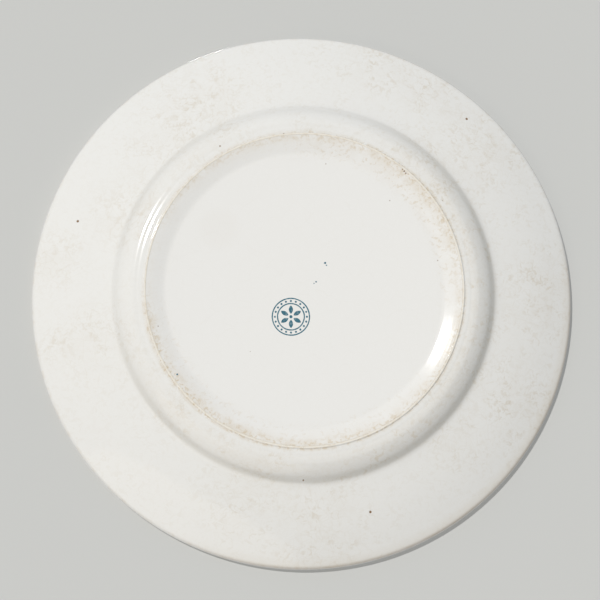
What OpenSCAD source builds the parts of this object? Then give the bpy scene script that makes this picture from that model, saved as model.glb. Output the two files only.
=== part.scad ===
// Dinner plate in glazed white earthenware, lying on its foot ring with the face up.
// Origin: centre of the foot ring, on the table. +Z is up. Millimetres.
// A pressed clay body carries a thin skin of glaze on every face. The glaze is worn away on the
// land of the foot ring, so it forms two skins: one outside the ring and over the face, one inside.

/* [Plate] */
// Diameter over the lip
plate_d = 245; // [200:1:300]
// Height from the table to the top of the lip
plate_h = 26.5; // [20:0.5:34]
// Thickness of the lip, measured upright
lip_t = 3.3; // [2.8:0.1:5]
// Width of the level top of the lip
lip_w = 2.8; // [2.4:0.1:5]
// Thickness of the wall where the rim leaves the well
wall_t = 4.1; // [3:0.1:6]

/* [Foot ring] */
// Diameter of the foot ring, at the middle of its land
foot_d = 141; // [115:1:175]
// Width of the land that the plate stands on
land_w = 1; // [0.8:0.1:3]
// Height of the recessed base above the table
base_h = 2.1; // [1.6:0.1:3.5]
// Slope of the ring's inner side, in degrees
foot_inner_slope = 16; // [15:1:40]
// Slope of the cove between the base and the ring's inner side, in degrees
cove_slope = 13.5; // [10:0.5:14.5]
// Radius where the base turns into the cove
cove_r = 9; // [3:0.5:16]
// Radius where the cove turns into the ring's inner side
ring_inner_r = 20; // [5:1:30]
// Slope of the step outside the land, in degrees
foot_outer_slope = 55; // [40:1:70]
// Height of the turned ledge outside the ring, above the table
ledge_h = 0.5; // [0.4:0.05:1.2]
// Width from the foot of the step to the nose of the shoulder
ledge_w = 4.9; // [3:0.1:6]
// Slope of the ledge, in degrees
ledge_slope = 8; // [0:1:12]

/* [Shoulder] */
// Width from the middle of the land to the crease under the rim
shoulder_w = 15.2; // [12.5:0.1:20]
// Height of the crease above the table
crease_h = 9.3; // [8:0.1:11]
// Slope of the shoulder in its middle, in degrees
shoulder_slope = 24; // [18:1:30]
// Slope of the shoulder where it runs into the crease, in degrees
crease_slope = 54; // [45:1:60]
// Radius of the shoulder's nose beside the ledge
nose_r = 10; // [3:0.5:12]
// Radius of the shoulder's hip above the crease
hip_r = 17; // [8:0.5:20]
// Radius of the hollow fillet in the crease
crease_r = 5.5; // [1.5:0.1:8]

/* [Rim] */
// Degrees by which the rim turns up between the crease and the lip
rim_curl = 10; // [4:1:18]
// Radius of the rim's upward curve
rim_curve_r = 130; // [60:5:160]
// Radius of the lip's lower edge
lip_under_r = 3; // [1:0.1:3]
// Radius of the lip's upper edge
lip_top_r = 1.4; // [0.8:0.1:1.5]
// Radius where the lip's top breaks into the face of the rim
lip_break_r = 4; // [2:0.5:6]

/* [Well] */
// Thickness of the floor of the well
floor_t = 4.2; // [3.4:0.1:6]
// Slope of the wall of the well, in degrees
well_slope = 45; // [35:1:55]
// Radius of the cove between floor and wall
well_cove_r = 12; // [5:0.5:14]
// Radius of the edge between the wall and the face of the rim
well_edge_r = 5; // [2:0.5:8]

/* [Glaze] */
// Thickness of the glaze
glaze_t = 0.25; // [0.15:0.05:0.3]
// Diameter of a kiln pin mark, where a pin left a hole in the glaze
pin_mark_d = 1.2; // [0.8:0.1:2]

/* [Printed mark] */
// Diameter of the mark
mark_d = 17; // [12:0.5:22]
// Place of the mark's middle, across
mark_x = 6; // [-12:0.5:12]
// Place of the mark's middle, along
mark_y = -12.5; // [-16:0.5:16]
// Width of the mark's fine lines
line_w = 0.55; // [0.4:0.05:0.8]
// Number of beads in the ring
bead_count = 20; // [10:1:24]
// Number of leaves in the rosette
leaf_count = 6; // [5:1:8]
// Thickness of the ink
ink_t = 0.1; // [0.05:0.05:0.15]

/* [Hidden] */

round_fn = 180;    // sides of the round forms
arc_step = 9;      // widest turn of one chord on a fillet, degrees
chord = 2.5;       // longest chord on a wide fillet, mm
cut = 1;           // how far a cutter runs past a face, mm
land_inner_r = 0.5;
land_outer_r = 0.35;
step_fillet = 0.6;  // radius in the corner between the step and the ledge
cove_share = 0.5;   // share of the base's height that the cove takes, and the ring the rest

foot_r = foot_d / 2;
lip_r = plate_d / 2;
floor_h = base_h + floor_t;

clay_colour = [0.87, 0.80, 0.69];
glaze_colour = [0.93, 0.925, 0.905];
ink_colour = [0.16, 0.38, 0.47];

// Kiln pin marks under the rim: angle, and share of the way from the crease out to the lip.
// They were set by hand.
PIN_MARKS = [[132.6, 0.71], [18.3, 0.572], [253.5, 0.434]];

// Stray ink on the base: place and diameter
FLECKS = [[-9.3, 11.7, 0.9], [-9.9, 10.7, 0.6], [-5.2, 3.2, 0.7]];

// Where two lines cross: one through p and one through q, with slopes a and b in degrees
function cross_at(p, a, q, b) =
    let (r = (q[1] - p[1] + p[0] * tan(a) - q[0] * tan(b)) / (tan(a) - tan(b)))
    [r, p[1] + (r - p[0]) * tan(a)];

// Outline corners of the glazed plate, from the axis under the base, out round the lip and
// back over the face. Each is [[radius, height], fillet].
land_inner = [foot_r - land_w / 2, 0];
ring_corner = land_inner + base_h * (1 - cove_share) * [-1 / tan(foot_inner_slope), 1];
base_corner = ring_corner + base_h * cove_share * [-1 / tan(cove_slope), 1];
land_outer = [foot_r + land_w / 2, 0];
step_corner = land_outer + ledge_h * [1 / tan(foot_outer_slope), 1];
nose = step_corner + ledge_w * [1, tan(ledge_slope)];
crease = [foot_r + shoulder_w, crease_h];
hip = cross_at(nose, shoulder_slope, crease, crease_slope);
lip_under = [lip_r, plate_h - lip_t];
rim_slope = atan((lip_under[1] - crease[1]) / (lip_under[0] - crease[0]));
rim_low = rim_slope - rim_curl / 2;
rim_high = rim_slope + rim_curl / 2;
rim_under = cross_at(crease, rim_low, lip_under, rim_high);
rim_t = (lip_t * cos(rim_high) + wall_t) / 2;
rim_face = rim_under + rim_t * [-sin(rim_slope), cos(rim_slope)] / cos(rim_curl / 2);
edge_lean = (rim_low + crease_slope) / 2;
edge_half_turn = (crease_slope - rim_low) / 2;
well_edge = crease + wall_t * [-sin(edge_lean), cos(edge_lean)] / cos(edge_half_turn);
well_corner = [well_edge[0] - (well_edge[1] - floor_h) / tan(well_slope), floor_h];

OUTLINE = [
    [[0, base_h], 0],
    [base_corner, cove_r],
    [ring_corner, ring_inner_r],
    [land_inner, land_inner_r],
    [land_outer, land_outer_r],
    [step_corner, step_fillet],
    [nose, nose_r],
    [hip, hip_r],
    [crease, crease_r],
    [rim_under, rim_curve_r],
    [lip_under, lip_under_r],
    [[lip_r, plate_h], lip_top_r],
    [[lip_r - lip_w, plate_h], lip_break_r],
    [rim_face, rim_curve_r],
    [well_edge, well_edge_r],
    [well_corner, well_cove_r],
    [[0, floor_h], 0],
];
LAND_IN = 3;  // the outline's corners at the two sides of the land, where the glaze thins out
LAND_OUT = 4;

// Rounding of the outline. Each corner's fillet takes a run along both of its sides, and where
// two runs would meet on one side they are shortened alike.
last = len(OUTLINE) - 1;
function way(i) = OUTLINE[i + 1][0] - OUTLINE[i][0];
function run_dir(i) = way(i) / norm(way(i));
function turn(i) =
    let (a = run_dir(i - 1), b = run_dir(i))
    atan2(a[0] * b[1] - a[1] * b[0], a * b);
function wanted_run(i) = i == 0 || i == last ? 0 : OUTLINE[i][1] * tan(abs(turn(i)) / 2);
function share(i) = min(1, norm(way(i)) / (wanted_run(i) + wanted_run(i + 1)));
function fillet_run(i) = wanted_run(i) * min(share(i - 1), share(i));

// Outward normal of the outline where it runs in direction d
function outward(d) = [d[1], -d[0]];
function turned(v, a) = [v[0] * cos(a) - v[1] * sin(a), v[0] * sin(a) + v[1] * cos(a)];

// Share of the full glaze at step s of 0 to 1 round corner i
function cover(i, s) = i == LAND_IN ? 1 - s : i == LAND_OUT ? s : 1;

// Points round corner i: each is [point, outward normal, glaze cover]
function fillet(i) =
    let (
        a = turn(i),
        side = sign(a),
        radius = fillet_run(i) / tan(abs(a) / 2),
        first_out = outward(run_dir(i - 1)),
        start = OUTLINE[i][0] - run_dir(i - 1) * fillet_run(i),
        centre = start - side * radius * first_out,
        arc_length = radius * abs(a) * PI / 180,
        steps = max(2, ceil(abs(a) / arc_step), ceil(arc_length / chord))
    )
    [
        for (k = [0 : steps])
            let (out = turned(first_out, a * k / steps))
            [centre + side * radius * out, out, cover(i, k / steps)]
    ];

under_base = concat([[OUTLINE[0][0], [0, -1], 1]], [for (i = [1 : LAND_IN]) each fillet(i)]);
round_lip = concat([for (i = [LAND_OUT : last - 1]) each fillet(i)], [[OUTLINE[last][0], [0, 1], 1]]);

// Surface of the glaze, and of the clay under it
function glazed(path) = [for (p = path) p[0]];
function bare(path) = [for (p = path) p[0] - p[1] * glaze_t * p[2]];
function backwards(list) = [for (i = [len(list) - 1 : -1 : 0]) list[i]];
function bare_skin(path) = [for (p = path) if (p[2] > 0) p[0] - p[1] * glaze_t * p[2]];

// Height and slope of the rim's underside at distance r from the axis
function rim_at(r) =
    let (
        line = glazed(round_lip),
        i = [for (k = [0 : len(line) - 2]) if (line[k][0] <= r && line[k + 1][0] > r) k][0],
        step = line[i + 1] - line[i]
    )
    [line[i][1] + (r - line[i][0]) * step[1] / step[0], atan(step[1] / step[0])];

module turned_form(points) {
    rotate_extrude($fn = round_fn)
        polygon(points);
}

// One pin mark's hole, square to the underside of the rim
module pin_hole(angle, r) {
    at = rim_at(r);
    rotate([0, 0, angle])
        translate([r, 0, at[0]])
            rotate([0, -at[1], 0])
                translate([0, 0, -cut])
                    cylinder(d = pin_mark_d, h = cut + glaze_t, $fn = 24);
}

// A slim leaf along +X, from the middle of the rosette outwards
module leaf(from_r, to_r, width) {
    half_length = (to_r - from_r) / 2;
    bow = (half_length * half_length + width * width / 4) / width;
    intersection_for (side = [-1, 1])
        translate([from_r + half_length, side * (bow - width / 2)])
            circle(r = bow, $fn = 96);
}

// The printed mark: two fine rings with beads between them, and a rosette of leaves inside
module mark_drawing() {
    outer_r = mark_d / 2;
    bead_ring_r = outer_r - line_w * 2.6;
    inner_r = outer_r - line_w * 4.2;
    bead_d = line_w * 1.7;
    for (r = [outer_r, inner_r])
        difference() {
            circle(r = r, $fn = 96);
            circle(r = r - line_w, $fn = 96);
        }
    for (i = [0 : bead_count - 1])
        rotate(i * 360 / bead_count)
            translate([bead_ring_r, 0])
                circle(d = bead_d, $fn = 24);
    for (i = [0 : leaf_count - 1])
        rotate(i * 360 / leaf_count + 90)
            leaf(line_w * 2.4, inner_r - line_w * 2, line_w * 3.4);
    circle(d = line_w * 2.6, $fn = 32);
}

module mark_ink() {
    translate([mark_x, mark_y, base_h])
        linear_extrude(ink_t)
            mark_drawing();
}

module fleck_ink() {
    for (fleck = FLECKS)
        translate([fleck[0], fleck[1], base_h])
            cylinder(d = fleck[2], h = ink_t, $fn = 24);
}

module clay_body() {
    color(clay_colour)
        turned_form(bare(concat(under_base, round_lip)));
}

module glaze_coat() {
    color(glaze_colour)
        difference() {
            turned_form(concat(glazed(round_lip), backwards(bare_skin(round_lip))));
            for (pin = PIN_MARKS)
                pin_hole(pin[0], crease[0] + pin[1] * (lip_r - crease[0]));
        }
}

module base_glaze() {
    color(glaze_colour)
        difference() {
            turned_form(concat(glazed(under_base), backwards(bare_skin(under_base))));
            mark_ink();
            fleck_ink();
        }
}

module backstamp() {
    color(ink_colour)
        mark_ink();
}

module print_flecks() {
    color(ink_colour)
        difference() {
            fleck_ink();
            mark_ink();
        }
}

clay_body();
glaze_coat();
base_glaze();
backstamp();
print_flecks();
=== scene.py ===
# Dinner plate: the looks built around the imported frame.
# The scene is in metres, and the plate's own sizes are in millimetres until they meet MM.
# +Z is up out of the eating face, and the plate stands on z = 0.
import math

import bpy
import numpy as np
from mathutils import Matrix, Vector, noise


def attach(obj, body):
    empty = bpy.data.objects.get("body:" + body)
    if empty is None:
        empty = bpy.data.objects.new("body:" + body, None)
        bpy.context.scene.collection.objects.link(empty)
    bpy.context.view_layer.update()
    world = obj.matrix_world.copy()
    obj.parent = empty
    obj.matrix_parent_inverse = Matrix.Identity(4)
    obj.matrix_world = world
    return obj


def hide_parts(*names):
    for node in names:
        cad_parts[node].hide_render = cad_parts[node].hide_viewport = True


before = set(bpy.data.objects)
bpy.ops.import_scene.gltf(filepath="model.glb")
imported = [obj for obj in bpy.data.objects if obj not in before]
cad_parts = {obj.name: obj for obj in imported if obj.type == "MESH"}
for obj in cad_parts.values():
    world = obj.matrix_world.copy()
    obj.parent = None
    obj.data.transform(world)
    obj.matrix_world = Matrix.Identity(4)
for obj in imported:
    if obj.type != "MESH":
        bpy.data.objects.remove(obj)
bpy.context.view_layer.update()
MM = 0.001


# ---------------------------------------------------------------------------------------------
# Clay body. White earthenware pressed and turned on a wheel in one piece: base, foot ring,
# shoulder, rim and well. It shows only where the glaze has worn off the land of the foot ring.
# ---------------------------------------------------------------------------------------------
PLATE_D = 245.0
PLATE_H = 26.5
LIP_T = 3.3
LIP_W = 2.8
WALL_T = 4.1
FOOT_D = 141.0
LAND_W = 1.0
BASE_H = 2.1
FOOT_INNER_SLOPE = 16.0
COVE_SLOPE = 13.5
COVE_SHARE = 0.5
FOOT_OUTER_SLOPE = 55.0
LEDGE_H = 0.5
LEDGE_W = 4.9
LEDGE_SLOPE = 8.0
SHOULDER_W = 15.2
CREASE_H = 9.3
SHOULDER_SLOPE = 24.0
CREASE_SLOPE = 54.0
RIM_CURL = 10.0
FLOOR_H = BASE_H + 4.2
WELL_SLOPE = 45.0
GLAZE_T = 0.25

# Radii that round the corners of the outline, in the order it runs
COVE_R = 9.0
RING_INNER_R = 20.0
LAND_INNER_R = 0.5
LAND_OUTER_R = 0.35
STEP_R = 0.6
NOSE_R = 10.0
HIP_R = 17.0
CREASE_R = 5.5
RIM_CURVE_R = 130.0
LIP_UNDER_R = 3.0
LIP_TOP_R = 1.4
LIP_BREAK_R = 4.0
WELL_EDGE_R = 5.0
WELL_COVE_R = 12.0

# The corners at the two edges of the land, where the glaze runs out
LAND_IN = 3
LAND_OUT = 4

# Points in each turn of the glaze and the clay
ROUND_STEPS = 288


def tan_of(degrees):
    """How much a line of that slope rises for each step outwards."""
    return math.tan(math.radians(degrees))


def leaning(degrees):
    """Unit vector square to a line of that slope, on its upper side."""
    return np.array([-math.sin(math.radians(degrees)), math.cos(math.radians(degrees))])


def cross_at(p, a, q, b):
    """Where the line through p with slope a meets the line through q with slope b."""
    r = (q[1] - p[1] + p[0] * tan_of(a) - q[0] * tan_of(b)) / (tan_of(a) - tan_of(b))
    return np.array([r, p[1] + (r - p[0]) * tan_of(a)])


def plate_corners():
    """Corners of the glazed outline and their fillets, from under the base out round the lip."""
    foot_r = FOOT_D / 2
    lip_r = PLATE_D / 2
    land_in = np.array([foot_r - LAND_W / 2, 0.0])
    land_out = np.array([foot_r + LAND_W / 2, 0.0])
    ring = land_in + BASE_H * (1 - COVE_SHARE) * np.array([-1 / tan_of(FOOT_INNER_SLOPE), 1.0])
    base = ring + BASE_H * COVE_SHARE * np.array([-1 / tan_of(COVE_SLOPE), 1.0])
    step = land_out + LEDGE_H * np.array([1 / tan_of(FOOT_OUTER_SLOPE), 1.0])
    nose = step + LEDGE_W * np.array([1.0, tan_of(LEDGE_SLOPE)])
    crease = np.array([foot_r + SHOULDER_W, CREASE_H])
    hip = cross_at(nose, SHOULDER_SLOPE, crease, CREASE_SLOPE)
    lip_under = np.array([lip_r, PLATE_H - LIP_T])
    rim = math.degrees(math.atan2(lip_under[1] - crease[1], lip_under[0] - crease[0]))
    low, high = rim - RIM_CURL / 2, rim + RIM_CURL / 2
    rim_under = cross_at(crease, low, lip_under, high)
    rim_t = (LIP_T * math.cos(math.radians(high)) + WALL_T) / 2
    rim_face = rim_under + rim_t * leaning(rim) / math.cos(math.radians(RIM_CURL / 2))
    half_turn = math.radians((CREASE_SLOPE - low) / 2)
    well_edge = crease + WALL_T * leaning((low + CREASE_SLOPE) / 2) / math.cos(half_turn)
    well_corner = np.array([well_edge[0] - (well_edge[1] - FLOOR_H) / tan_of(WELL_SLOPE), FLOOR_H])
    return [
        (np.array([0.0, BASE_H]), 0),
        (base, COVE_R),
        (ring, RING_INNER_R),
        (land_in, LAND_INNER_R),
        (land_out, LAND_OUTER_R),
        (step, STEP_R),
        (nose, NOSE_R),
        (hip, HIP_R),
        (crease, CREASE_R),
        (rim_under, RIM_CURVE_R),
        (lip_under, LIP_UNDER_R),
        (np.array([lip_r, PLATE_H]), LIP_TOP_R),
        (np.array([lip_r - LIP_W, PLATE_H]), LIP_BREAK_R),
        (rim_face, RIM_CURVE_R),
        (well_edge, WELL_EDGE_R),
        (well_corner, WELL_COVE_R),
        (np.array([0.0, FLOOR_H]), 0),
    ]


def plate_outline():
    """Rows of (radius, height, outward normal's two parts, share of the glaze, distance run)."""
    corners = plate_corners()
    ends = len(corners) - 1
    ways = [corners[i + 1][0] - corners[i][0] for i in range(ends)]
    dirs = [w / np.linalg.norm(w) for w in ways]
    turns = [0.0] * (ends + 1)
    runs = [0.0] * (ends + 1)
    for i in range(1, ends):
        a, b = dirs[i - 1], dirs[i]
        turns[i] = math.atan2(a[0] * b[1] - a[1] * b[0], a @ b)
        runs[i] = corners[i][1] * math.tan(abs(turns[i]) / 2)
    shares = [min(1.0, np.linalg.norm(w) / (runs[i] + runs[i + 1])) for i, w in enumerate(ways)]
    rows = [(np.array([0.0, BASE_H]), np.array([0.0, -1.0]), 1.0)]
    for i in range(1, ends):
        run = runs[i] * min(shares[i - 1], shares[i])
        side = math.copysign(1.0, turns[i])
        radius = run / math.tan(abs(turns[i]) / 2)
        first_out = np.array([dirs[i - 1][1], -dirs[i - 1][0]])
        centre = corners[i][0] - dirs[i - 1] * run - side * radius * first_out
        steps = max(3, math.ceil(math.degrees(abs(turns[i]))))
        for k in range(steps + 1):
            a = turns[i] * k / steps
            spin = np.array([[math.cos(a), -math.sin(a)], [math.sin(a), math.cos(a)]])
            out = spin @ first_out
            share = {LAND_IN: 1 - k / steps, LAND_OUT: k / steps}.get(i, 1.0)
            rows.append((centre + side * radius * out, out, share))
    rows.append((np.array([0.0, FLOOR_H]), np.array([0.0, 1.0]), 1.0))
    table = np.array([[*place, *out, share] for place, out, share in rows])
    run = np.concatenate([[0], np.cumsum(np.hypot(*np.diff(table[:, :2], axis=0).T))])
    return np.column_stack([table, run])


OUTLINE = plate_outline()
BARE = np.flatnonzero(OUTLINE[:, 4] == 0)
LAND_START, LAND_END = OUTLINE[BARE[0], 5], OUTLINE[BARE[-1], 5]


def rows_at(runs):
    """The outline's rows at those distances along it."""
    return np.column_stack([np.interp(runs, OUTLINE[:, 5], OUTLINE[:, k]) for k in range(6)])


def picked_runs(start, end, bend, spacing):
    """Distances from start to end, close together where the outline bends."""
    fine = np.arange(start, end, 0.05)
    rows = rows_at(fine)
    lean = np.unwrap(np.arctan2(rows[:, 3], rows[:, 2]))
    kept = [start]
    last = 0
    for i in range(1, len(fine)):
        if abs(lean[i] - lean[last]) > math.radians(bend) or fine[i] - fine[last] >= spacing:
            kept.append(fine[i])
            last = i
    return np.array(kept + [end])


def rim_warp(r, angle):
    """How far the rim has moved up or down in the kiln, in mm. The foot and the well stay flat."""
    flat_to, rim_w = 84, 38
    share = np.clip((r - flat_to) / rim_w, 0, 1) ** 1.5
    return share * (0.30 * np.cos(2 * angle + 0.7) + 0.12 * np.cos(3 * angle + 2.1))


def spun_points(rows, angles, push=None):
    """Points of the rows carried round the axis. Push is each point's move along its normal, in mm."""
    r, z, nr, nz = (rows[:, k][:, None] for k in range(4))
    a = angles[None, :]
    out = np.zeros((len(rows), len(angles))) if push is None else push
    reach = r + nr * out
    up = z + nz * out + rim_warp(r, a)
    return np.stack([reach * np.cos(a), reach * np.sin(a), up + 0 * a], axis=2) * MM


def spun_mesh(name, grid):
    """A closed form of revolution from rows of points. A row at the axis becomes one point."""
    count = grid.shape[1]
    points, first = [], []
    for row in grid:
        first.append(len(points))
        points.extend([row.mean(axis=0)] if np.ptp(row, axis=0).max() < 1e-9 else row)
    sizes = np.diff(first + [len(points)])
    faces = []
    for i in range(len(grid) - 1):
        here, there = first[i], first[i + 1]
        for j in range(count):
            k = (j + 1) % count
            if sizes[i] == 1:
                faces.append((here, there + k, there + j))
            elif sizes[i + 1] == 1:
                faces.append((here + j, here + k, there))
            else:
                faces.append((here + j, here + k, there + k, there + j))
    mesh = bpy.data.meshes.new(name)
    mesh.from_pydata([tuple(p) for p in points], [], faces)
    mesh.validate()
    mesh.polygons.foreach_set("use_smooth", [True] * len(mesh.polygons))
    piece = bpy.data.objects.new(name, mesh)
    bpy.context.scene.collection.objects.link(piece)
    return piece


def even_angles(count):
    return np.arange(count) * 2 * math.pi / count


def roughened(points, scale, seed):
    """Smooth noise from -1 to 1 at each point of a grid; scale is its size in mm."""
    flat = points.reshape(-1, 3) / (scale * MM)
    shift = Vector((seed, seed * 1.7, seed * 2.3))
    values = [noise.noise(Vector(p) + shift) for p in flat]
    return np.array(values).reshape(points.shape[:2])


def material(name, **settings):
    """A new principled material, its node tree and its shader."""
    finish = bpy.data.materials.new(name)
    finish.use_nodes = True
    shader = finish.node_tree.nodes["Principled BSDF"]
    for key, value in settings.items():
        shader.inputs[key.replace("_", " ")].default_value = value
    return finish, finish.node_tree, shader


def feed(tree, socket, value):
    """Sets an input, or links an output to it."""
    if isinstance(value, bpy.types.NodeSocket):
        tree.links.new(value, socket)
    elif value is not None:
        socket.default_value = value


def calc(tree, operation, a, b=None):
    node = tree.nodes.new("ShaderNodeMath")
    node.operation = operation
    feed(tree, node.inputs[0], a)
    feed(tree, node.inputs[1], b)
    return node.outputs[0]


def product(tree, first, *rest):
    for value in rest:
        first = calc(tree, "MULTIPLY", first, value)
    return first


def vector_calc(tree, operation, a, b=None):
    node = tree.nodes.new("ShaderNodeVectorMath")
    node.operation = operation
    feed(tree, node.inputs[0], a)
    feed(tree, node.inputs[1], b)
    return node.outputs["Value" if operation in ("LENGTH", "DISTANCE", "DOT_PRODUCT") else "Vector"]


def eased(tree, value, low, high):
    """0 below low, 1 above high, and a smooth rise between; low may be the larger for a fall."""
    node = tree.nodes.new("ShaderNodeMapRange")
    node.interpolation_type = "SMOOTHSTEP"
    falls = low > high
    feed(tree, node.inputs["Value"], value)
    node.inputs["From Min"].default_value = min(low, high)
    node.inputs["From Max"].default_value = max(low, high)
    node.inputs["To Min"].default_value = 1.0 if falls else 0.0
    node.inputs["To Max"].default_value = 0.0 if falls else 1.0
    return node.outputs["Result"]


def band(tree, reach, start, full_from, full_to, end):
    """1 between the two middle radii, and a smooth fall to 0 at the outer two."""
    return product(tree, eased(tree, reach, start, full_from), eased(tree, reach, end, full_to))


def mottle(tree, place, size, detail=3.0, distortion=0.0, roughness=0.55):
    """Noise from 0 to 1 whose patches are about size millimetres across."""
    node = tree.nodes.new("ShaderNodeTexNoise")
    feed(tree, node.inputs["Vector"], place)
    node.inputs["Scale"].default_value = 1 / (size * MM)
    node.inputs["Detail"].default_value = detail
    node.inputs["Roughness"].default_value = roughness
    node.inputs["Distortion"].default_value = distortion
    return node.outputs["Fac"]


def tinted(tree, base, colour, amount):
    node = tree.nodes.new("ShaderNodeMix")
    node.data_type = "RGBA"
    feed(tree, node.inputs["Factor"], amount)
    feed(tree, node.inputs["A"], base)
    feed(tree, node.inputs["B"], colour)
    return node.outputs["Result"]


def relief(tree, height, depth):
    """Bump whose height of 1 is depth millimetres."""
    node = tree.nodes.new("ShaderNodeBump")
    node.inputs["Distance"].default_value = depth * MM
    feed(tree, node.inputs["Height"], height)
    return node.outputs["Normal"]


def place_of(tree):
    return tree.nodes.new("ShaderNodeTexCoord").outputs["Object"]


def flat_place(tree, place):
    return vector_calc(tree, "MULTIPLY", place, (1, 1, 0))


def radius_mm(tree, place):
    return product(tree, vector_calc(tree, "LENGTH", flat_place(tree, place)), 1 / MM)


def bisque():
    """Fired clay, rubbed smooth and soaked with tan where the plate has stood."""
    finish, tree, shader = material("bisque_clay", IOR=1.45)
    place = place_of(tree)
    grain = mottle(tree, place, 0.35, detail=5)
    soak = eased(tree, mottle(tree, place, 2.4, detail=4, distortion=0.6), 0.42, 0.68)
    colour = tinted(tree, (0.80, 0.75, 0.66, 1), (0.85, 0.81, 0.74, 1), grain)
    colour = tinted(tree, colour, (0.56, 0.44, 0.28, 1), product(tree, soak, 0.28))
    feed(tree, shader.inputs["Base Color"], colour)
    rub = calc(tree, "ADD", product(tree, grain, 0.3), 0.45)
    feed(tree, shader.inputs["Roughness"], rub)
    feed(tree, shader.inputs["Normal"], relief(tree, grain, 0.05))
    return finish


def make_clay_body():
    near_in, near_out = LAND_START - 1, LAND_END + 1
    runs = np.concatenate([
        picked_runs(0, near_in, 8, 4),
        picked_runs(near_in + 0.1, near_out, 6, 0.2),
        picked_runs(near_out + 0.1, OUTLINE[-1, 5], 8, 4),
    ])
    rows = rows_at(runs)
    angles = even_angles(ROUND_STEPS)
    sunk = -GLAZE_T * rows[:, 4][:, None] * np.ones((1, ROUND_STEPS))
    on_land = np.exp(-((rows[:, 5] - (LAND_START + LAND_END) / 2) / 0.4) ** 4)[:, None]
    worn = roughened(spun_points(rows, angles), 4, 3.0) - 1
    piece = spun_mesh("clay_body_looks", spun_points(rows, angles, sunk + 0.02 * on_land * worn))
    piece.data.materials.append(bisque())
    return piece


clay_body = make_clay_body()
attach(clay_body, "root")
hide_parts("clay_body")


# ---------------------------------------------------------------------------------------------
# Glaze over the shoulder, the rim and the face. Clear glossy glaze on white clay, dipped, so it
# thins on the lip. On the back, painted shade greys the crease and darkens the lip, and painted warm
# light tints the shoulder, most on the side away from the key light. Three pins held the rim in the
# kiln and left pits.
# ---------------------------------------------------------------------------------------------
# Kiln pin marks: bearing in degrees and distance from the axis in mm
PIN_MARKS = [(132.6, 112.0), (18.3, 107.0), (253.5, 102.0)]
PIN_PIT_R = 0.55
PIN_PIT_DEPTH = 0.19
PIN_COLLAR_R = 0.95
PIN_COLLAR_W = 0.3
PIN_COLLAR_H = 0.05

# Turning marks on the ledge beside the foot ring: distance out from the foot's line, and rise in mm
LEDGE_TURNING = [(0.9, 0.0), (2.85, 0.085), (3.65, 0.030), (4.7, 0.080), (7.0, 0.190), (13.5, 0.0)]
TURNING_ROUND = 0.25

# Colours of the glaze, of what has stained it, and of painted shade
IVORY = (0.822, 0.810, 0.784, 1)
PALE_TAN = (0.60, 0.515, 0.39, 1)
OCHRE = (0.58, 0.44, 0.25, 1)
BROWN = (0.42, 0.30, 0.17, 1)
# Grey of the painted shade in the crease
CREASE_SHADE_GREY = (0.40, 0.37, 0.29, 1)
DARK_BROWN = (0.24, 0.14, 0.07, 1)
SPECK_BROWN = (0.16, 0.09, 0.04, 1)
STACK_GREY = (0.50, 0.47, 0.42, 1)
KNIFE_GREY = (0.52, 0.47, 0.40, 1)

# Clouds of old stain under the rim and on the shoulder: x, y, reach in mm, and strength
AGE_CLOUDS = [
    (47, 84, 27, 0.9), (68, 64, 17, 0.7), (-36, 109, 19, 1.0), (-61, 98, 20, 1.0),
    (-84, 68, 25, 0.9), (112, 16, 16, 1.0), (109, -23, 12, 0.8), (-107, 0, 24, 1.0),
    (-94, -50, 28, 0.9), (-69, -64, 18, 0.7), (78, 36, 20, 1.0), (-56, 52, 25, 1.0),
    (-63, 28, 15, 0.7), (24, -90, 22, 0.7), (-6, -98, 20, 0.7), (-10, -116, 24, 0.8),
    (-64, -46, 20, 0.7), (55, -47, 14, 0.6), (90, -20, 18, 0.8), (-5, 64, 15, 0.6),
]

# Bands of wear, stain and painted shade, in mm from the axis: where each starts, is full, is still full
# and ends
HAZE_BAND = (63.0, 69.5, 71.4, 73.5)
DOTS_BAND = (66.0, 69.8, 71.2, 72.6)
COVE_BAND = (58.5, 62.5, 67.5, 70.0)
SHOULDER_BAND = (72.5, 75.5, 84.0, 88.0)
CREASE_SHADE_BAND = (82.0, 84.0, 85.0, 86.4)
STACK_BAND = (69.8, 70.6, 71.4, 72.2)

# Edges of wear and of the painted shade near the lip, in mm from the axis: where it starts and where it
# is full
LIP_UNDER_EDGE = (120.6, 122.2)
LIP_FACE_EDGE = (119.6, 121.8)
RIM_SHADE_EDGE = (116.5, 121.0)
WELL_EDGE = (84.0, 62.0)

# Stain that goes round with the plate, and on the shoulder and lip painted shade and light as well:
# bearing and half width in degrees, and strength
RIM_STAIN = [(180, 75, 1.0), (90, 60, 0.7), (-45, 50, 0.5), (-90, 50, 0.6)]
# On the shoulder these bearings weigh stain, painted warm light and the crease's painted shade,
# strongest away from the key light
SHOULDER_STAIN_AND_SHADE = [(-140, 70, 1.0), (180, 50, 0.9), (-60, 55, 0.6), (145, 40, 0.5), (40, 30, 0.3)]
FOOT_STAIN = [
    (-45, 50, 1.0), (-95, 50, 0.8), (-145, 50, 0.6), (140, 40, 0.8), (85, 50, 0.5), (50, 30, 0.4),
]
COVE_STAIN = [(135, 60, 1.0), (-45, 45, 0.5), (-100, 50, 0.4)]
# Bearings of the painted shade and wear at the lip
LIP_WEAR_AND_SHADE = [(-145, 55, 1.0), (-100, 40, 0.7)]

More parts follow.
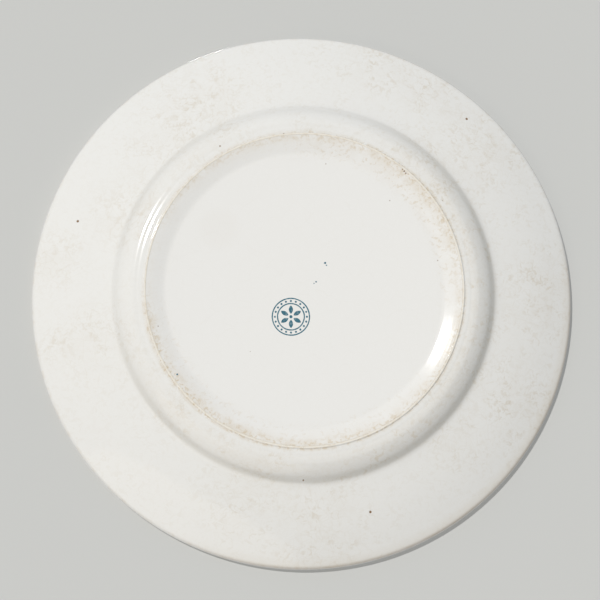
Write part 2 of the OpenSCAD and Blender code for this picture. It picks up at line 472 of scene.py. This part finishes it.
# Brown spots where something burnt out of the glaze: x, y and size in mm, and strength
BURNT_SPOTS = [
    (37.4, 64.8, 0.55, 0.8), (-44.3, 54.1, 0.5, 0.8), (-45.0, 53.2, 0.55, 0.9), (-45.7, 52.3, 0.5, 0.8),
    (0.8, -84.3, 0.5, 0.9), (-38.5, 40.2, 0.4, 0.6), (-59.5, 12.9, 0.4, 0.6), (24.0, -28.0, 0.3, 0.5),
    (-10.0, 57.0, 0.4, 0.5), (64.5, -16.9, 0.4, 0.6), (8.9, 70.3, 0.5, 0.7), (-62.0, 40.0, 0.35, 0.5),
]


def reach_of(points):
    """Each point's distance from the axis, in mm."""
    return np.hypot(points[..., 0], points[..., 1]) / MM


def spot_at(bearing, reach):
    """The place at that bearing in degrees and that distance in mm from the axis, in metres."""
    a = math.radians(bearing)
    return reach * MM * math.cos(a), reach * MM * math.sin(a)


def hand_of_glaze(points):
    """The glaze's own unevenness, in mm: slow waves from dipping and rings from the wheel."""
    reach = reach_of(points)
    calm = np.clip((reach - FOOT_D / 2) / 14, 0.3, 1)
    rings = 0.006 * np.sin(reach * 2.9) * np.sin(reach * 0.37 + 1)
    return calm * (rings + 0.030 * roughened(points, 16, 7.0) + 0.010 * roughened(points, 5.5, 11.0))


def turned_relief(reach, marks, rounding):
    """Height in mm of turning marks, given as (radius, height) points and rounded off between them."""
    radii, heights = zip(*marks)
    shifts = np.linspace(-rounding, rounding, 7)
    return np.mean([np.interp(reach + shift, radii, heights) for shift in shifts], axis=0)


def ledge_turning(points):
    """The turning marks on the ledge, in mm."""
    marks = [(FOOT_D / 2 + out, rise) for out, rise in LEDGE_TURNING]
    return turned_relief(reach_of(points), marks, TURNING_ROUND)


def pin_relief(points):
    """Pits that the kiln pins left under the rim, each with a raised collar, in mm."""
    depth = np.zeros(points.shape[:2])
    for bearing, reach in PIN_MARKS:
        x, y = spot_at(bearing, reach)
        away = np.hypot(points[..., 0] - x, points[..., 1] - y) / MM
        depth -= PIN_PIT_DEPTH * np.exp(-((away / PIN_PIT_R) ** 4))
        depth += PIN_COLLAR_H * np.exp(-(((away - PIN_COLLAR_R) / PIN_COLLAR_W) ** 2))
    return depth


def closed_skin(name, runs, under_runs, angles, outer_push):
    """Glaze as a closed skin: its shiny surface, then back along the clay under it."""
    outer = spun_points(rows_at(runs), angles, outer_push)
    rows = rows_at(under_runs)
    inner = spun_points(rows, angles, -GLAZE_T * rows[:, 4][:, None] * np.ones((1, len(angles))))
    return spun_mesh(name, np.concatenate([outer, inner]))


def cloud_cover(tree, flat, clouds):
    """How much stain lies at a place: the sum of soft round clouds."""
    total = 0.0
    for x, y, reach, strength in clouds:
        away = vector_calc(tree, "DISTANCE", flat, (x * MM, y * MM, 0))
        cloud = product(tree, eased(tree, away, reach * MM * 1.25, reach * MM * 0.2), strength)
        total = cloud if total == 0.0 else calc(tree, "MAXIMUM", total, cloud)
    return total


def bearing_cover(tree, flat, stains):
    """How much stain and painted shade and light a bearing has: the most of the entries that reach it.
    """
    outward = vector_calc(tree, "NORMALIZE", flat)
    total = 0.0
    for bearing, reach, strength in stains:
        a = math.radians(bearing)
        facing = vector_calc(tree, "DOT_PRODUCT", outward, (math.cos(a), math.sin(a), 0))
        none, full = math.cos(math.radians(reach)), math.cos(math.radians(reach * 0.3))
        share = product(tree, eased(tree, facing, none, full), strength)
        total = share if total == 0.0 else calc(tree, "MAXIMUM", total, share)
    return total


def burnt_spots(tree, flat, spots):
    """How brown a place is from the small burnt spots near it."""
    total = 0.0
    for x, y, size, strength in spots:
        away = vector_calc(tree, "DISTANCE", flat, (x * MM, y * MM, 0))
        spot = product(tree, eased(tree, away, size * MM, size * MM * 0.4), strength)
        total = spot if total == 0.0 else calc(tree, "MAXIMUM", total, spot)
    return total


def foot_stain(tree, colour, place, flat, reach):
    """Ochre dots and haze where dirt has crept under the glaze from the worn foot ring."""
    share = calc(tree, "ADD", bearing_cover(tree, flat, FOOT_STAIN), 0.12)
    near = band(tree, reach, *HAZE_BAND)
    haze = eased(tree, mottle(tree, place, 6, detail=4), 0.25, 0.65)
    colour = tinted(tree, colour, OCHRE, product(tree, near, haze, share, 0.14))
    close = band(tree, reach, *DOTS_BAND)
    colour = tinted(tree, colour, OCHRE, product(tree, close, haze, share, 0.20))
    dots = eased(tree, mottle(tree, place, 1.5, detail=3, distortion=0.4), 0.50, 0.64)
    colour = tinted(tree, colour, OCHRE, product(tree, close, dots, share, 0.46))
    in_cove = band(tree, reach, *COVE_BAND)
    creep = calc(tree, "ADD", bearing_cover(tree, flat, COVE_STAIN), 0.12)
    colour = tinted(tree, colour, OCHRE, product(tree, in_cove, creep, haze, 0.05))
    flecks = eased(tree, mottle(tree, place, 2.0, detail=4, distortion=0.6), 0.53, 0.66)
    return tinted(tree, colour, OCHRE, product(tree, in_cove, flecks, creep, 0.26))


def specks(tree, place, spacing, size, rarity):
    """Small dark specks: one in each cell of spacing mm, kept where the cell is rare enough."""
    node = tree.nodes.new("ShaderNodeTexVoronoi")
    feed(tree, node.inputs["Vector"], place)
    node.inputs["Scale"].default_value = 1 / (spacing * MM)
    chosen = tree.nodes.new("ShaderNodeSeparateColor")
    tree.links.new(node.outputs["Color"], chosen.inputs["Color"])
    dot = eased(tree, node.outputs["Distance"], size / spacing, size / spacing * 0.4)
    return product(tree, dot, calc(tree, "GREATER_THAN", chosen.outputs[0], rarity))


def crazing(tree, place, size):
    """Fine network of hairlines in old glaze, 1 on a line."""
    drift = vector_calc(tree, "MULTIPLY", noise_vector(tree, place, 4.0), (0.0012,) * 3)
    bent = vector_calc(tree, "ADD", place, drift)
    node = tree.nodes.new("ShaderNodeTexVoronoi")
    node.feature = "DISTANCE_TO_EDGE"
    feed(tree, node.inputs["Vector"], bent)
    node.inputs["Scale"].default_value = 1 / (size * MM)
    return eased(tree, node.outputs["Distance"], 0.035, 0.008)


def noise_vector(tree, place, size):
    node = tree.nodes.new("ShaderNodeTexNoise")
    feed(tree, node.inputs["Vector"], place)
    node.inputs["Scale"].default_value = 1 / (size * MM)
    return node.outputs["Color"]


def glaze_finish(tree, shader, colour, place, fine_wear=None):
    """The gloss shared by all the glaze: faint smears in the shine and a skin like orange peel."""
    smear = mottle(tree, place, 14, detail=4)
    gloss = calc(tree, "ADD", product(tree, smear, 0.03), 0.075)
    if fine_wear is not None:
        gloss = calc(tree, "ADD", gloss, product(tree, fine_wear, 0.22))
    peel = mottle(tree, place, 1.6, detail=2, roughness=0.4)
    feed(tree, shader.inputs["Base Color"], colour)
    feed(tree, shader.inputs["Roughness"], gloss)
    feed(tree, shader.inputs["Normal"], relief(tree, peel, 0.006))


def underside_glaze():
    """Aged glaze of the back: tan clouds, ochre in the foot, ochre stain and painted warm light on the
    shoulder, worn lip, burnt specks, painted shade in the crease and at the lip.
    """
    finish, tree, shader = material("glaze_under", IOR=1.52)
    place = place_of(tree)
    flat = flat_place(tree, place)
    reach = radius_mm(tree, place)
    cover = cloud_cover(tree, flat, AGE_CLOUDS)
    round_rim = bearing_cover(tree, flat, RIM_STAIN)
    clumps = eased(tree, mottle(tree, place, 10, detail=3, distortion=0.5), 0.42, 0.62)
    fine = eased(tree, mottle(tree, place, 2.2, detail=4, distortion=0.8, roughness=0.6), 0.47, 0.64)
    veins = eased(tree, mottle(tree, place, 6.0, detail=5, distortion=1.6, roughness=0.62), 0.50, 0.68)
    blush = eased(tree, mottle(tree, place, 15, detail=3), 0.35, 0.7)
    spread = calc(tree, "ADD", product(tree, round_rim, 0.15), product(tree, cover, 0.22))
    spread = calc(tree, "ADD", product(tree, spread, clumps), 0.045)
    colour = tinted(tree, IVORY, PALE_TAN, product(tree, fine, spread))
    colour = tinted(tree, colour, PALE_TAN, product(tree, veins, cover, 0.20))
    colour = tinted(tree, colour, PALE_TAN, product(tree, cover, blush, 0.08))
    on_shoulder = band(tree, reach, *SHOULDER_BAND)
    shoulder_stain_and_shade = calc(tree, "ADD", bearing_cover(tree, flat, SHOULDER_STAIN_AND_SHADE), 0.10)
    patches = eased(tree, mottle(tree, place, 2.4, detail=4, distortion=0.7), 0.47, 0.66)
    patches = product(tree, patches, calc(tree, "ADD", product(tree, clumps, 0.7), 0.3))
    # Mottled ochre stain on the shoulder
    colour = tinted(tree, colour, OCHRE, product(tree, on_shoulder, shoulder_stain_and_shade, patches, 0.26))
    # Painted warm light: an even ochre wash on the side of the shoulder away from the key light,
    # standing in for bounced light
    colour = tinted(tree, colour, OCHRE, product(tree, on_shoulder, shoulder_stain_and_shade, 0.05))
    # Painted shade: the crease under the rim is greyed, most on the side away from the key light
    crease_shade = band(tree, reach, *CREASE_SHADE_BAND)
    colour = tinted(tree, colour, CREASE_SHADE_GREY, product(tree, crease_shade, shoulder_stain_and_shade, 0.22))
    colour = foot_stain(tree, colour, place, flat, reach)
    lip = eased(tree, reach, *LIP_UNDER_EDGE)
    lip_wear = eased(tree, mottle(tree, place, 3.5, detail=5), 0.42, 0.68)
    colour = tinted(tree, colour, OCHRE, product(tree, lip, lip_wear, 0.20))
    # Painted shade: the rim near the lip is tinted tan on the side away from the key light, and the
    # lip's edge there is browned, partly as wear
    lip_wear_and_shade = bearing_cover(tree, flat, LIP_WEAR_AND_SHADE)
    lip_shade_band = eased(tree, reach, *RIM_SHADE_EDGE)
    colour = tinted(tree, colour, PALE_TAN, product(tree, lip_shade_band, lip_wear_and_shade, 0.22))
    colour = tinted(tree, colour, BROWN, product(tree, lip, lip_wear_and_shade, 0.30))
    lines = crazing(tree, place, 5.0)
    soaked = calc(tree, "ADD", product(tree, cover, 0.09), 0.03)
    colour = tinted(tree, colour, PALE_TAN, product(tree, lines, soaked))
    colour = tinted(tree, colour, DARK_BROWN, specks(tree, place, 13, 0.28, 0.86))
    colour = tinted(tree, colour, DARK_BROWN, burnt_spots(tree, flat, BURNT_SPOTS))
    for bearing, pin_reach in PIN_MARKS:
        away = vector_calc(tree, "DISTANCE", flat, (*spot_at(bearing, pin_reach), 0))
        colour = tinted(tree, colour, DARK_BROWN, eased(tree, away, 0.75 * MM, 0.35 * MM))
    glaze_finish(tree, shader, colour, place)
    return finish


# How many times longer than wide a knife mark is
KNIFE_STRETCH = 28


def scratches(tree, place, turn_deg, spacing):
    """Knife marks: long thin scratches all in about one direction, 1 on a scratch."""
    node = tree.nodes.new("ShaderNodeMapping")
    node.vector_type = "TEXTURE"
    node.inputs["Rotation"].default_value = (0, 0, math.radians(turn_deg))
    node.inputs["Scale"].default_value = (KNIFE_STRETCH, 1, 1)
    feed(tree, node.inputs["Vector"], place)
    line = mottle(tree, node.outputs["Vector"], spacing, detail=1, distortion=0.15)
    fine = calc(tree, "ABSOLUTE", calc(tree, "SUBTRACT", line, 0.5))
    broken = eased(tree, mottle(tree, place, 15, detail=2), 0.48, 0.62)
    return product(tree, eased(tree, fine, 0.010, 0.002), broken)


def face_glaze():
    """Glaze of the eating face: faint veins, knife marks in the well, and a ring from stacking."""
    finish, tree, shader = material("glaze_face", IOR=1.52)
    place = place_of(tree)
    reach = radius_mm(tree, place)
    marks = scratches(tree, place, 12, 1.7)
    for turn_deg, spacing in ((64, 2.3), (118, 1.9), (155, 2.8)):
        marks = calc(tree, "MAXIMUM", marks, scratches(tree, place, turn_deg, spacing))
    marks = product(tree, marks, eased(tree, reach, *WELL_EDGE))
    veins = eased(tree, mottle(tree, place, 7, detail=5, distortion=1.6, roughness=0.62), 0.52, 0.7)
    blush = eased(tree, mottle(tree, place, 40, detail=3), 0.45, 0.75)
    colour = tinted(tree, IVORY, PALE_TAN, product(tree, veins, blush, 0.22))
    stack = band(tree, reach, *STACK_BAND)
    stack = product(tree, stack, eased(tree, mottle(tree, place, 5, detail=4), 0.45, 0.7))
    colour = tinted(tree, colour, STACK_GREY, product(tree, stack, 0.3))
    colour = tinted(tree, colour, KNIFE_GREY, product(tree, marks, 0.35))
    colour = tinted(tree, colour, PALE_TAN, product(tree, crazing(tree, place, 3.6), 0.09))
    lip = eased(tree, reach, *LIP_FACE_EDGE)
    lip_wear = eased(tree, mottle(tree, place, 3.5, detail=5), 0.42, 0.68)
    colour = tinted(tree, colour, OCHRE, product(tree, lip, lip_wear, 0.20))
    colour = tinted(tree, colour, SPECK_BROWN, specks(tree, place, 15, 0.28, 0.90))
    glaze_finish(tree, shader, colour, place, calc(tree, "MAXIMUM", marks, stack))
    return finish


def make_glaze_coat():
    """Rows close together on the ledge, and rows and spokes close together at each pin mark."""
    lip_run = OUTLINE[np.argmax(OUTLINE[:, 0]), 5]
    on_ledge = LAND_END + np.arange(1, 48) * 0.15
    angles = [even_angles(ROUND_STEPS)]
    runs = [picked_runs(LAND_END, OUTLINE[-1, 5], 7, 1.9), on_ledge]
    near_pin = np.arange(-7, 8) * 0.2
    half = OUTLINE[:, 5] < lip_run
    for bearing, reach in PIN_MARKS:
        angles.append((math.radians(bearing) + near_pin / reach) % (2 * math.pi))
        runs.append(np.interp(reach, OUTLINE[half, 0], OUTLINE[half, 5]) + near_pin)
    angles = np.unique(np.round(np.concatenate(angles), 6))
    runs = np.unique(np.round(np.concatenate(runs), 4))
    under = picked_runs(LAND_END + 0.05, OUTLINE[-1, 5], 12, 5)[::-1]
    shape = spun_points(rows_at(runs), angles)
    clear_of_land = np.clip(runs - LAND_END, 0, 1)[:, None]
    uneven = hand_of_glaze(shape) * clear_of_land
    on_underside = (runs < lip_run)[:, None]
    push = uneven + (pin_relief(shape) + ledge_turning(shape)) * on_underside
    grid_under = np.concatenate([under, [LAND_END]])
    piece = closed_skin("glaze_coat_looks", runs, grid_under, angles, push)
    piece.data.materials.append(underside_glaze())
    piece.data.materials.append(face_glaze())

    # The face's glaze is on every face that looks up, inside the lip
    normals = np.zeros(len(piece.data.polygons) * 3)
    centres = np.zeros(len(piece.data.polygons) * 3)
    piece.data.polygons.foreach_get("normal", normals)
    piece.data.polygons.foreach_get("center", centres)
    up = normals[2::3] > 0.0
    high = np.hypot(centres[0::3], centres[1::3]) < PLATE_D / 2 * MM
    piece.data.polygons.foreach_set("material_index", (up & high).astype(np.int32))
    return piece


glaze_coat = make_glaze_coat()
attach(glaze_coat, "root")
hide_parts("glaze_coat")


# ---------------------------------------------------------------------------------------------
# Glaze inside the foot ring. The same coat on the recessed base, clean in the middle, with a
# band of ochre dots where dirt has crept under it from the worn foot ring.
# ---------------------------------------------------------------------------------------------
BASE_WHITE = (0.842, 0.828, 0.803, 1)
RIPPLE_R = 63.0
RIPPLE_PITCH = 2.4

# A swell that turning left in the cove: distance in from the foot's line, and height in mm
COVE_SWELL = [(7.5, 0.0), (3.7, 0.15), (0.2, 0.0)]

# A faint warm patch on the base: its middle, and how far from it the tint is full and ends, in mm
PATCH_AT = (38, 27)
PATCH_FULL = 5
PATCH_END = 12


def base_finish():
    """Clean white glaze with tan veins towards the cove and one faint warm patch."""
    finish, tree, shader = material("glaze_base", IOR=1.52)
    place = place_of(tree)
    flat = flat_place(tree, place)
    reach = radius_mm(tree, place)
    cover = cloud_cover(tree, flat, [cloud for cloud in AGE_CLOUDS if math.hypot(*cloud[:2]) < 84])
    outer = eased(tree, reach, 54, 66)
    veins = eased(tree, mottle(tree, place, 3.5, detail=5, distortion=1.4, roughness=0.62), 0.48, 0.68)
    colour = tinted(tree, BASE_WHITE, PALE_TAN, product(tree, veins, cover, outer, 0.22))
    from_patch = vector_calc(tree, "DISTANCE", flat, (PATCH_AT[0] * MM, PATCH_AT[1] * MM, 0))
    patch = eased(tree, from_patch, PATCH_END * MM, PATCH_FULL * MM)
    colour = tinted(tree, colour, PALE_TAN, product(tree, patch, 0.045))
    colour = foot_stain(tree, colour, place, flat, reach)
    colour = tinted(tree, colour, PALE_TAN, product(tree, crazing(tree, place, 5.0), 0.03))
    colour = tinted(tree, colour, DARK_BROWN, specks(tree, place, 14, 0.25, 0.93))
    colour = tinted(tree, colour, DARK_BROWN, burnt_spots(tree, flat, BURNT_SPOTS))
    glaze_finish(tree, shader, colour, place)
    return finish


def base_unevenness(points):
    """The base glaze's own waves in mm, calmer in the flat middle, with turned ripples in the cove."""
    reach = reach_of(points)
    calm = np.clip((reach - 40) / 25, 0.25, 1)
    edge = np.clip((FOOT_D / 2 - LAND_W / 2 - reach) / 0.8, 0, 1)
    in_cove = np.clip((reach - 60) / 2, 0, 1) * np.clip((68 - reach) / 2, 0, 1)
    ripples = 0.006 * in_cove * np.cos((reach - RIPPLE_R) / RIPPLE_PITCH * 2 * math.pi)
    marks = [(FOOT_D / 2 - inward, rise) for inward, rise in COVE_SWELL]
    swell = turned_relief(reach, marks, TURNING_ROUND)
    waves = 0.012 * roughened(points, 13, 5.0) + 0.003 * roughened(points, 4.5, 9.0)
    pitted = 0.005 * in_cove * roughened(points, 2.4, 21.0)
    return edge * (swell + ripples + pitted + calm * waves)


def make_base_glaze():
    angles = even_angles(ROUND_STEPS)
    cove_start = LAND_START - 11
    on_flat = picked_runs(0, cove_start, 4, 1.6)
    in_cove = picked_runs(cove_start + 0.3, LAND_START, 4, 0.3)
    runs = np.concatenate([on_flat, in_cove])
    push = base_unevenness(spun_points(rows_at(runs), angles))
    under = picked_runs(0, LAND_START - 0.05, 10, 5)[::-1]
    piece = closed_skin("base_glaze_looks", runs, under, angles, push)
    piece.data.materials.append(base_finish())
    return piece


base_glaze = make_base_glaze()
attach(base_glaze, "root")
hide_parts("base_glaze")


# ---------------------------------------------------------------------------------------------
# Printed mark. Teal-blue ceramic ink laid on the base from a transfer and fired into the glaze:
# two fine rings with beads between them around a rosette of leaves. It has no letters.
# ---------------------------------------------------------------------------------------------
MARK_X, MARK_Y, MARK_D = 6.0, -12.5, 17.0
LINE_W = 0.55
BEADS = 20
LEAVES = 6
INK_T = 0.1
INK_PROUD = 0.012
INK_DEEP = (0.030, 0.115, 0.165, 1)
INK_LIGHT = (0.055, 0.185, 0.245, 1)
INK_STARVED = (0.36, 0.46, 0.50, 1)


def printed_slab(name, shapes):
    """Thin slabs of ink from outlines: each is (outer loop, inner loop or None), in mm."""
    points, faces = [], []

    def add_loop(loop, sink):
        start = len(points)
        for x, y in loop:
            down = ink_height(x, y)
            points.append((x * MM, y * MM, (down + (INK_T if sink else -INK_PROUD)) * MM))
        return start

    for outer, inner in shapes:
        count = len(outer)
        low, high = add_loop(outer, False), add_loop(outer, True)
        if inner is None:
            middle = np.mean(outer, axis=0)
            low_mid, high_mid = add_loop([middle], False), add_loop([middle], True)
        else:
            low_in, high_in = add_loop(inner, False), add_loop(inner, True)
        for j in range(count):
            k = (j + 1) % count
            faces.append((low + j, high + j, high + k, low + k))
            if inner is None:
                faces.append((low_mid, low + j, low + k))
                faces.append((high_mid, high + k, high + j))
            else:
                faces.append((low + j, low + k, low_in + k, low_in + j))
                faces.append((high + j, high_in + j, high_in + k, high + k))
                faces.append((low_in + j, low_in + k, high_in + k, high_in + j))
    mesh = bpy.data.meshes.new(name)
    mesh.from_pydata(points, [], faces)
    mesh.validate()
    piece = bpy.data.objects.new(name, mesh)
    bpy.context.scene.collection.objects.link(piece)
    return piece


def ink_height(x, y):
    """Height of the base glaze's surface at that place, in mm."""
    r = math.hypot(x, y)
    half = OUTLINE[:, 5] <= LAND_START
    level = float(np.interp(r, OUTLINE[half, 0], OUTLINE[half, 1]))
    point = np.array([[[x * MM, y * MM, level * MM]]])
    return level - float(base_unevenness(point)[0, 0])


def ring_of(centre, radius, count, wobble=0.0, seed=0.0):
    """A round loop of count points whose edge strays by up to wobble."""
    loop = []
    for j in range(count):
        a = 2 * math.pi * j / count
        bulge = noise.noise(Vector((math.cos(a) * 2, math.sin(a) * 2, seed))) * wobble
        r = radius + bulge
        loop.append((centre[0] + r * math.cos(a), centre[1] + r * math.sin(a)))
    return loop


def leaf_loop(centre, angle, start, end, width, steps=14):
    """A slim pointed leaf that runs outwards from start to end."""
    loop = []
    across = Vector((-math.sin(angle), math.cos(angle)))
    along = Vector((math.cos(angle), math.sin(angle)))
    for side in (1, -1):
        for j in range(steps):
            share = j / steps if side == 1 else 1 - j / steps
            belly = width / 2 * math.sin(math.pi * share) ** 0.8
            point = Vector(centre) + along * (start + (end - start) * share) + across * side * belly
            loop.append(tuple(point))
    return loop


def mark_shapes():
    """Outlines of the two rings, the beads between them, the leaves and the dot in the middle."""
    centre = (MARK_X, MARK_Y)
    outer_r = MARK_D / 2
    bead_ring_r = outer_r - LINE_W * 2.6
    inner_r = outer_r - LINE_W * 4.2
    shapes = []
    for r in (outer_r, inner_r):
        outside = ring_of(centre, r, 144, 0.07, r)
        inside = ring_of(centre, r - LINE_W, 144, 0.07, r + 3)
        shapes.append((outside, inside))
    for i in range(BEADS):
        a = 2 * math.pi * i / BEADS
        at = (centre[0] + bead_ring_r * math.cos(a), centre[1] + bead_ring_r * math.sin(a))
        shapes.append((ring_of(at, LINE_W * 0.85, 18, 0.08, i), None))
    for i in range(LEAVES):
        a = 2 * math.pi * i / LEAVES + math.pi / 2
        leaf = leaf_loop(centre, a, LINE_W * 2.4, inner_r - LINE_W * 2, LINE_W * 3.4)
        shapes.append((leaf, None))
    shapes.append((ring_of(centre, LINE_W * 1.3, 24, 0.06, 40), None))
    return shapes


def printing_ink():
    """Ink under a thin film of glaze, uneven where the transfer missed."""
    finish, tree, shader = material("printing_ink", IOR=1.52, Roughness=0.16)
    place = place_of(tree)
    starved = eased(tree, mottle(tree, place, 0.8, detail=4), 0.50, 0.72)
    deep = mottle(tree, place, 2.5, detail=2)
    colour = tinted(tree, INK_DEEP, INK_LIGHT, deep)
    colour = tinted(tree, colour, INK_STARVED, product(tree, starved, 0.6))
    feed(tree, shader.inputs["Base Color"], colour)
    feed(tree, shader.inputs["Normal"], relief(tree, deep, 0.006))
    return finish


INK = printing_ink()
backstamp = printed_slab("printed_mark", mark_shapes())
backstamp.data.materials.append(INK)
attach(backstamp, "root")
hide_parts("backstamp")


# ---------------------------------------------------------------------------------------------
# Stray ink. Specks of the same ink that fell from the transfer on to the base and the cove, and
# were fired in with the mark.
# ---------------------------------------------------------------------------------------------
# Each speck: x, y and width in mm
FLECKS = [(-9.3, 11.7, 0.9), (-9.9, 10.7, 0.6), (-5.2, 3.2, 0.7), (-4.3, 2.5, 0.5), (56.0, -38.3, 0.8)]

fleck_shapes = [(ring_of((x, y), d / 2, 16, d * 0.35, x), None) for x, y, d in FLECKS]
print_flecks = printed_slab("stray_ink", fleck_shapes)
print_flecks.data.materials.append(INK)
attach(print_flecks, "root")
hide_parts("print_flecks")


# ---------------------------------------------------------------------------------------------
# Studio. A pale sweep under the plate for views from above, and a pale board behind it for views
# from below. Each is seen from its front only and takes the plate's shadow without giving any.
# ---------------------------------------------------------------------------------------------
SWEEP_R = 1.6
SWEEP_LEVEL = -0.0001
WALL_CURVE = 0.9
WALL_CURVE_STEPS = 16
WALL_H = 2.4
BOARD_R = 3.0
BOARD_GAP = 0.0006
STAGE_STEPS = 96
SWEEP_GREY = (0.66, 0.66, 0.65, 1)
BOARD_GREY = (0.60, 0.60, 0.585, 1)


def stage_paper(name, colour):
    """Matt paper that shows on its front and is clear from behind."""
    finish, tree, shader = material(name, Roughness=0.9)
    shader.inputs["Base Color"].default_value = colour
    shader.inputs["Specular IOR Level"].default_value = 0.0
    clear = tree.nodes.new("ShaderNodeBsdfTransparent")
    choice = tree.nodes.new("ShaderNodeMixShader")
    side = tree.nodes.new("ShaderNodeNewGeometry")
    tree.links.new(side.outputs["Backfacing"], choice.inputs["Fac"])
    tree.links.new(shader.outputs["BSDF"], choice.inputs[1])
    tree.links.new(clear.outputs["BSDF"], choice.inputs[2])
    tree.links.new(choice.outputs["Shader"], tree.nodes["Material Output"].inputs["Surface"])
    return finish


def camera_only(piece):
    """Keeps a sheet out of reflections, bounced light and shadows."""
    piece.visible_diffuse = False
    piece.visible_glossy = False
    piece.visible_transmission = False
    piece.visible_volume_scatter = False
    piece.visible_shadow = False


def spun_stage(name, section, faces_up):
    """An open sheet of revolution from (radius, height) points, front side up or down."""
    count = STAGE_STEPS
    points = [(0.0, 0.0, section[0][1])]
    for r, z in section[1:]:
        for j in range(count):
            a = 2 * math.pi * j / count
            points.append((r * math.cos(a), r * math.sin(a), z))
    faces = [(0, 1 + j, 1 + (j + 1) % count) for j in range(count)]
    for i in range(len(section) - 2):
        here, there = 1 + i * count, 1 + (i + 1) * count
        for j in range(count):
            k = (j + 1) % count
            faces.append((here + j, there + j, there + k, here + k))
    if not faces_up:
        faces = [face[::-1] for face in faces]
    mesh = bpy.data.meshes.new(name)
    mesh.from_pydata(points, [], faces)
    mesh.polygons.foreach_set("use_smooth", [True] * len(mesh.polygons))
    piece = bpy.data.objects.new(name, mesh)
    bpy.context.scene.collection.objects.link(piece)
    camera_only(piece)
    return piece


sweep_section = [(0.0, SWEEP_LEVEL), (SWEEP_R, SWEEP_LEVEL)]
for step in range(1, WALL_CURVE_STEPS + 1):
    lean = math.pi / 2 * step / WALL_CURVE_STEPS
    sweep_section.append((SWEEP_R + WALL_CURVE * math.sin(lean), WALL_CURVE * (1 - math.cos(lean))))
sweep_section.append((SWEEP_R + WALL_CURVE, WALL_H))
sweep = spun_stage("studio_sweep", sweep_section, True)
sweep.data.materials.append(stage_paper("sweep_paper", SWEEP_GREY))

board_z = PLATE_H * MM + BOARD_GAP
board = spun_stage("studio_board", [(0.0, board_z), (BOARD_R, board_z)], False)
board.data.materials.append(stage_paper("board_paper", BOARD_GREY))


def sun(name, strength, direction, spread, colour=(1, 1, 1)):
    """A distant light that comes from direction; spread is its width in degrees."""
    lamp = bpy.data.lights.new(name, "SUN")
    lamp.energy = strength
    lamp.angle = math.radians(spread)
    lamp.color = colour
    holder = bpy.data.objects.new(name, lamp)
    bpy.context.scene.collection.objects.link(holder)
    holder.rotation_euler = Vector(direction).to_track_quat("Z", "Y").to_euler()
    return holder


def from_below(azimuth, polar):
    """Direction to a light below the plate. Azimuth 0 is right and 90 is up as the base is seen."""
    a, p = math.radians(azimuth), math.radians(polar)
    return (-math.cos(a) * math.sin(p), math.sin(a) * math.sin(p), -math.cos(p))


sun("key_below", 1.76, from_below(137, 30.5), 2.0, (1.0, 0.99, 0.965))
sun("fill_below", 0.53, from_below(240, 65), 60.0, (1.0, 0.895, 0.745))
sun("lift_below", 0.14, from_below(75, 65), 60.0)
sun("soft_above", 0.35, (0.25, -0.3, 0.92), 80.0)

# The light above gives its shading and its shine apart, so that the shine is a small clean spot
FROM_ABOVE = (0.10, 0.52, 0.85)
key_above = sun("key_above", 1.35, FROM_ABOVE, 9.0, (1.0, 0.985, 0.96))
key_above.visible_glossy = False
shine_above = sun("shine_above", 0.10, FROM_ABOVE, 3.5)
shine_above.visible_diffuse = False

sky = bpy.data.worlds.new("pale_sky")
bpy.context.scene.world = sky
sky.use_nodes = True
sky.node_tree.nodes["Background"].inputs["Color"].default_value = (0.93, 0.97, 1.0, 1)
sky.node_tree.nodes["Background"].inputs["Strength"].default_value = 0.45
bpy.context.scene.view_settings.view_transform = "Standard"


# ---------------------------------------------------------------------------------------------
# Camera. It looks up at the back of the plate, which leans away from it by about ten degrees.
# ---------------------------------------------------------------------------------------------
LEAN = math.radians(10.16)
YAW = math.radians(2.0)
DISTANCE = 0.904
RIM_LEVEL = 23.9 * MM

back = Vector((math.sin(YAW), -math.sin(LEAN) * math.cos(YAW), -math.cos(LEAN) * math.cos(YAW)))
up = Vector((0, math.cos(LEAN), -math.sin(LEAN)))
right = up.cross(back)
lens = bpy.data.cameras.new("camera")
lens.sensor_width = 36.0
lens.lens = 119.5
lens.shift_x = -0.0044
lens.shift_y = -0.0040
camera = bpy.data.objects.new("camera", lens)
bpy.context.scene.collection.objects.link(camera)
turn = Matrix((right, up, back)).transposed().to_4x4()
camera.matrix_world = Matrix.Translation(Vector((0, 0, RIM_LEVEL)) + back * DISTANCE) @ turn
bpy.context.scene.camera = camera
